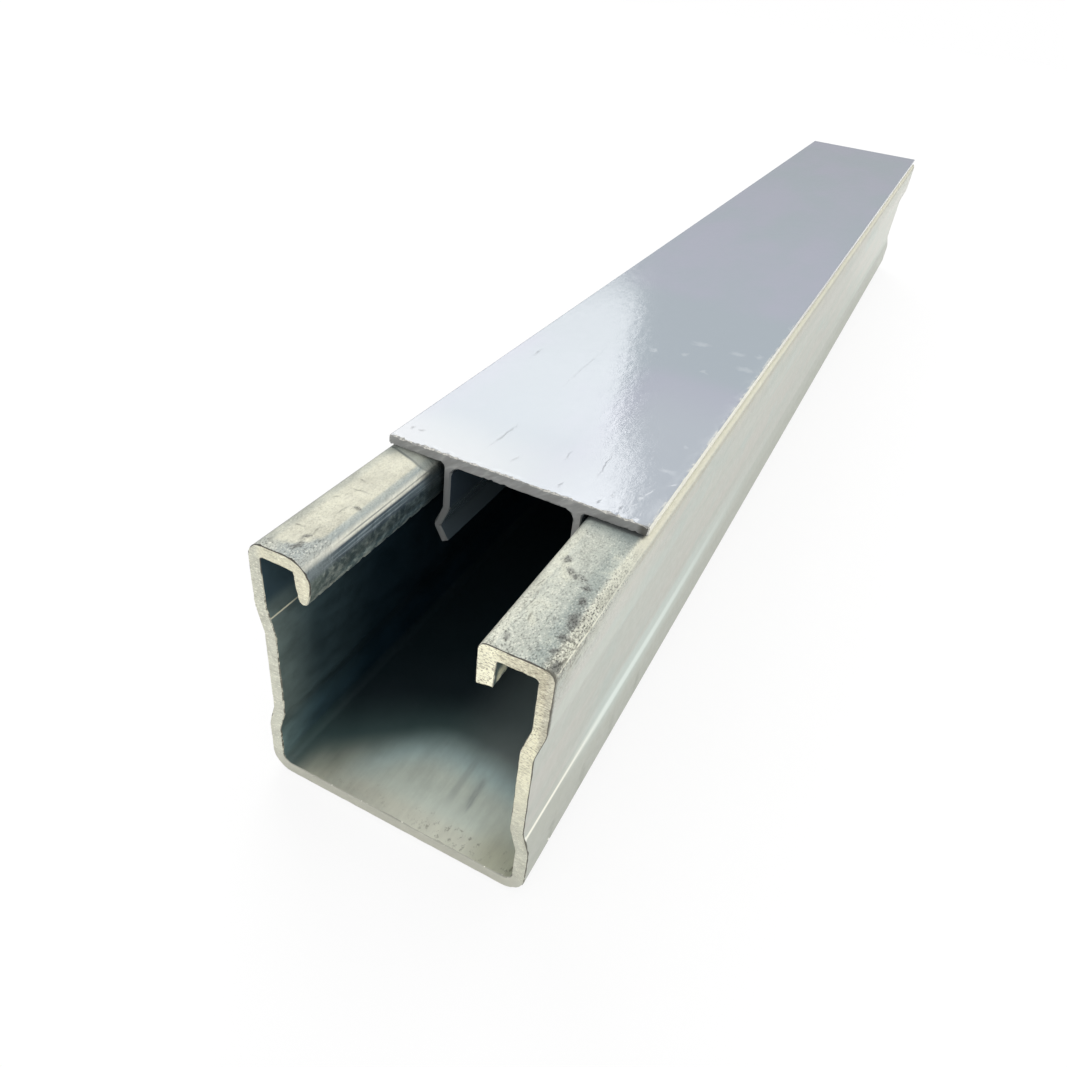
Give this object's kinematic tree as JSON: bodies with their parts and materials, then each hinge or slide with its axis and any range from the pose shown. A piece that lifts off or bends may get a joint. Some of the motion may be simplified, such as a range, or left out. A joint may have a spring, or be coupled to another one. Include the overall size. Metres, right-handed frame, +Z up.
{
  "type": "strut channel",
  "caption": "Length of roll-formed galvanised steel strut channel with waisted sides and serrated lips, its slot covered by a snap-in grey plastic closure strip.",
  "frame": {"origin": "on the floor, under the middle of the channel's base", "axes": "+Y along the channel towards the end where the strip is flush, +X across it, +Z up out of the slot"},
  "size_m": [0.0412, 0.329, 0.0428],
  "materials": {
    "galvanised_steel": "zinc plated, satin, with passivation tints and handling scuffs",
    "grey_plastic": "smooth extruded gloss with light scratches"
  },
  "bodies": {
    "root": {"channel": "galvanised_steel", "closure_strip": "grey_plastic"}
  },
  "joints": []
}
